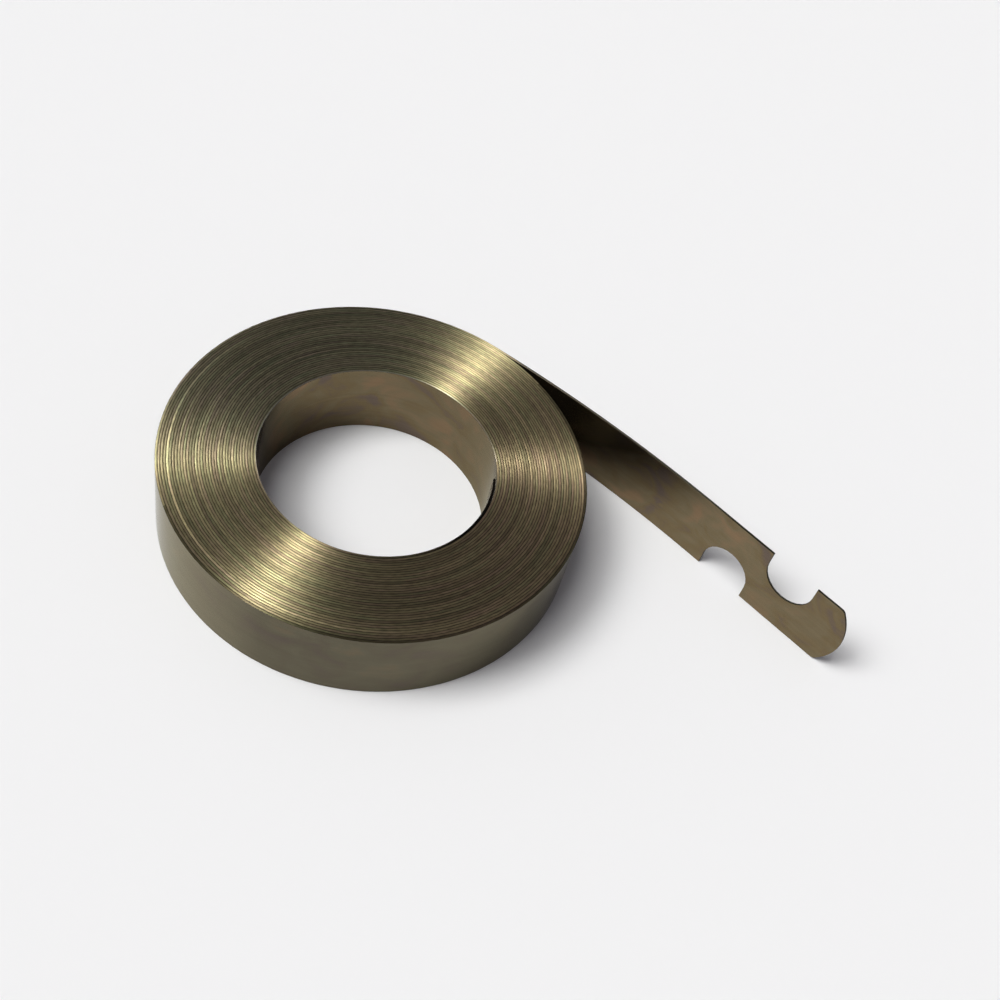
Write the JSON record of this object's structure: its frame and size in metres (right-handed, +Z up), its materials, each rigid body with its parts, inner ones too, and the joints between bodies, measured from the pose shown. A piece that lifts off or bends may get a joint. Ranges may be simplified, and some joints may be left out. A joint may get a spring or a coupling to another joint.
{
  "type": "constant force spring",
  "caption": "Strip of spring steel wound into a tight flat coil round a drum bore, with a short free tail ending in two opposed notches and a rounded tip.",
  "frame": {"origin": "on the drum's axis, level with the strip's lower edge, on which the coil lies", "axes": "+Z up along the drum's axis; +X along the straight end of the tail, towards its tip"},
  "size_m": [0.075, 0.0521, 0.01],
  "materials": {
    "spring_steel": "satin rolled steel with a warm tint, ground edges"
  },
  "bodies": {
    "root": {"spring_strip": "spring_steel"}
  },
  "joints": []
}
